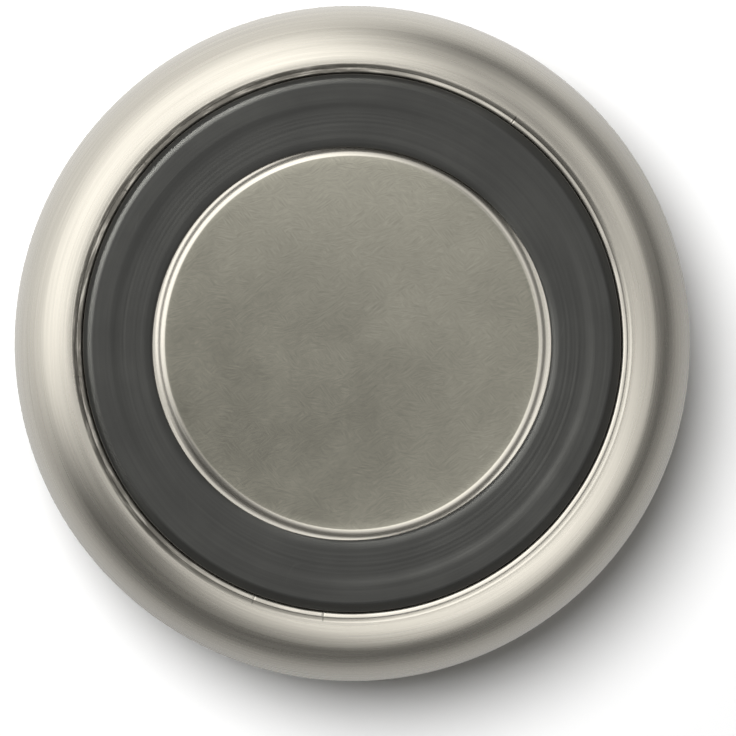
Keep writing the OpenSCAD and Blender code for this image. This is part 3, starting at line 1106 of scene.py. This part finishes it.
def lamp(name, power, size, place, spread=180.0, aim=(0, 0, 0)):
    """A round soft lamp that looks at the bowl. Steel sees the studio's panels in its stead."""
    light = bpy.data.lights.new(name, "AREA")
    light.shape, light.size, light.energy = "DISK", size, power
    light.spread = math.radians(spread)
    thing = bpy.data.objects.new(name, light)
    thing.location = place
    looks_along = Vector(aim) - Vector(place)
    thing.rotation_euler = looks_along.to_track_quat("-Z", "Y").to_euler()
    thing.visible_camera = False
    thing.visible_glossy = False
    bpy.context.scene.collection.objects.link(thing)
    return thing


def heading(degrees):
    """A level unit vector by its heading in the photograph, clockwise from the right."""
    return level(math.radians(degrees - 180))


def from_photo(degrees, down, distance):
    """A place by its heading, its angle off the axis below the bowl, and its distance."""
    c = math.radians(down)
    flat = distance * math.sin(c)
    x, y, _ = heading(degrees)
    return (flat * x, flat * y, -distance * math.cos(c))


# A panel's settings with their defaults. Its edge to the sides is where the heading's cosine
# passes Side, and it reaches from Near to Far degrees off the axis below the bowl.
PANEL_SETTINGS = {
    "Side": 0.5,
    "Side soft": 0.2,
    "Near": 10.0,
    "Far": 60.0,
    "Soft": 6.0,
    "Strength": 1.0,
}
# Each panel's heading, and its settings in that order
PANELS = {
    "left": (219.7, 0.58, 0.32, 13.4, 101.0, 30.0, 1.58),
    "right": (33.6, 0.58, 0.85, 13.0, 71.9, 6.7, 0.97),
    "right_near": (72.2, 0.62, 0.15, -15.0, 40.5, 30.0, 0.76),
    "table_left": (234.8, 0.4, 0.9, 105.6, 200.0, 14.1, 0.69),
    "table": (37.0, -0.97, 0.9, 116.8, 169.1, 17.4, 0.4),
    "between": (312.5, 0.9, 0.15, 38.8, 76.6, 30.0, 0.65),
    "left_near": (267.2, 0.9, 0.06, -15.0, 40.1, 30.0, 0.72),
    "left_edge": (219.7, 0.5, 0.32, 13.0, 26.0, 8.0, 0.5),
    "right_close": (40.0, 0.3, 0.4, 5.5, 15.0, 2.5, 0.8),
}
ROOM = 0.154  # what shiny surfaces see between the panels
AMBIENT = 0.06  # what matt surfaces see everywhere
# What shiny ones see close round the camera: its dimness, its reach in degrees, and the heading
# and steepness of a slow slope of light
CAMERA_DIM, CAMERA_REACH = 0.3, 5.0
SLOPE_AT, SLOPE = 310.0, 8.5


def softbox(name):
    """One soft panel of light, seen by its direction: Around is level, Down is the angle."""
    inputs = {"Around": ("Vector", None), "Down": ("Float", 0.0), "Heading": ("Vector", None)}
    inputs.update({key: ("Float", value) for key, value in PANEL_SETTINGS.items()})
    tree, n, given, result = new_group(name, inputs, {"Light": "Float"})

    def edge(value, at, soft, *ends):
        """Eases in over the edge, or out of it with the ends 1 and 0."""
        return n.span(value, n.minus(given[at], given[soft]), n.plus(given[at], given[soft]), *ends)

    side = edge(n.dot(given["Around"], given["Heading"]), "Side", "Side soft")
    near = edge(given["Down"], "Near", "Soft")
    far = edge(given["Down"], "Far", "Soft", 1.0, 0.0)
    shape = n.times(n.times(side, near), far)
    n.put(n.times(shape, given["Strength"]), result["Light"])
    return tree


def studio_world():
    """White for the camera, dim for matt surfaces, and the studio's panels for shiny ones."""
    world = bpy.data.worlds.new("studio_world")
    world.use_nodes = True
    world.cycles.sampling_method = "NONE"
    tree = world.node_tree
    tree.nodes.clear()
    n = Nodes(tree)
    direction = n.add("ShaderNodeTexCoord").outputs["Generated"]
    around = n.around(direction)
    down = n.times(n.math("ARCCOSINE", n.dot(direction, (0, 0, -1))), 180 / math.pi)
    total = ROOM
    for at, *values in PANELS.values():
        given = {"Around": around, "Down": down, "Heading": heading(at)}
        given.update(zip(PANEL_SETTINGS, values))
        total = n.plus(total, n.group("Softbox", softbox, given)["Light"])
    clear = n.span(down, 0.0, CAMERA_REACH)
    dim = n.plus(CAMERA_DIM, n.times(n.dot(direction, heading(SLOPE_AT)), SLOPE))
    total = n.math("MAXIMUM", n.between(clear, dim, total), 0.0)

    def glow(strength):
        """A white background of that strength."""
        inputs = {"Color": (1, 1, 1, 1), "Strength": strength}
        return n.add("ShaderNodeBackground", inputs).outputs[0]

    path = n.add("ShaderNodeLightPath").outputs
    shiny = n.plus(path["Is Glossy Ray"], path["Is Transmission Ray"], clamp=True)
    reflected = n.blend(shiny, glow(AMBIENT), glow(total))
    surface = n.blend(path["Is Camera Ray"], reflected, glow(1.0))
    n.add("ShaderNodeOutputWorld", {"Surface": surface})
    return world


class BOWL_OT_stage(Operator):
    """Set the camera, the tabletop, the floor, the lamps and the studio's panels"""

    bl_idname = "bowl.stage"
    bl_label = "Stage"

    def execute(self, context):
        g = settings()
        scene, s = context.scene, g.studio
        camera = bpy.data.objects.new("camera", bpy.data.cameras.new("camera"))
        camera.data.lens = s.lens
        camera.location = (-s.camera_across, -s.camera_up, -s.camera_distance)
        camera.rotation_euler = (0, math.pi, 0)
        scene.collection.objects.link(camera)
        scene.camera = camera
        # The tabletop bears the bowl upside down, and the floor bears it upright
        top, hole = g.bowl.height + GROUND_GAP, g.wall.brim[0]
        tabletop = plane("tabletop", top, TABLE_RADIUS, hole, one_sided("tabletop_white"), False)
        floor_white = one_sided("floor_white", FLOOR_FADE)
        floor = plane("floor", -GROUND_GAP, FLOOR_RADIUS, 0.0, floor_white, True)
        for thing in (tabletop, floor):
            thing.visible_shadow = False
            thing.visible_diffuse = False
            thing.visible_transmission = False
            thing.visible_glossy = False
        lamp("key_lamp", s.key_power, size=0.75, place=from_photo(232, 18.5, 1.3))
        lamp("fill_lamp", s.fill_power, size=2.4, place=from_photo(0, 0, 1.5))
        grazing = from_photo(221, 86.5, 0.8)
        lamp("low_lamp", s.low_power, size=0.1, place=grazing, spread=10, aim=(0, 0, -0.02))
        lamp("top_lamp", s.top_power, size=1.2, place=(0.25, -0.2, 1.2))
        scene.world = studio_world()
        scene.view_settings.view_transform = "Standard"
        return {"FINISHED"}


class BOWL_PT_panel(Panel):
    """Lists the bowl's settings and the steps that build it"""

    bl_label = "Bowl"
    bl_idname = "BOWL_PT_panel"
    bl_space_type = "VIEW_3D"
    bl_region_type = "UI"
    bl_category = "Bowl"

    def draw(self, context):
        layout = self.layout
        for step in STEPS:
            layout.operator(step.bl_idname)
        for group, holder in SETTING_GROUPS.items():
            box = layout.box()
            box.label(text=group.replace("_", " ").capitalize())
            for key in holder.__annotations__:
                box.prop(getattr(context.scene, group), key)


STEPS = (
    BOWL_OT_inner_bowl,
    BOWL_OT_outer_shell,
    BOWL_OT_base_pan,
    BOWL_OT_ring,
    BOWL_OT_bond,
    BOWL_OT_stage,
)
SETTING_GROUPS = {
    "bowl_sizes": BowlSizes,
    "base_sizes": BaseSizes,
    "bowl_looks": BowlLooks,
    "studio_settings": StudioSettings,
}


def register():
    """Registers the classes and puts the settings on the scene."""
    for cls in (*SETTING_GROUPS.values(), *STEPS, BOWL_PT_panel):
        bpy.utils.register_class(cls)
    for key, cls in SETTING_GROUPS.items():
        setattr(bpy.types.Scene, key, PointerProperty(type=cls))


def unregister():
    """Takes the settings off the scene and the classes out again."""
    for key in SETTING_GROUPS:
        delattr(bpy.types.Scene, key)
    for cls in (BOWL_PT_panel, *reversed(STEPS), *reversed(SETTING_GROUPS.values())):
        bpy.utils.unregister_class(cls)


def main():
    register()
    for step in STEPS:
        family, name = step.bl_idname.split(".")
        getattr(getattr(bpy.ops, family), name)()


if __name__ == "__main__":
    main()
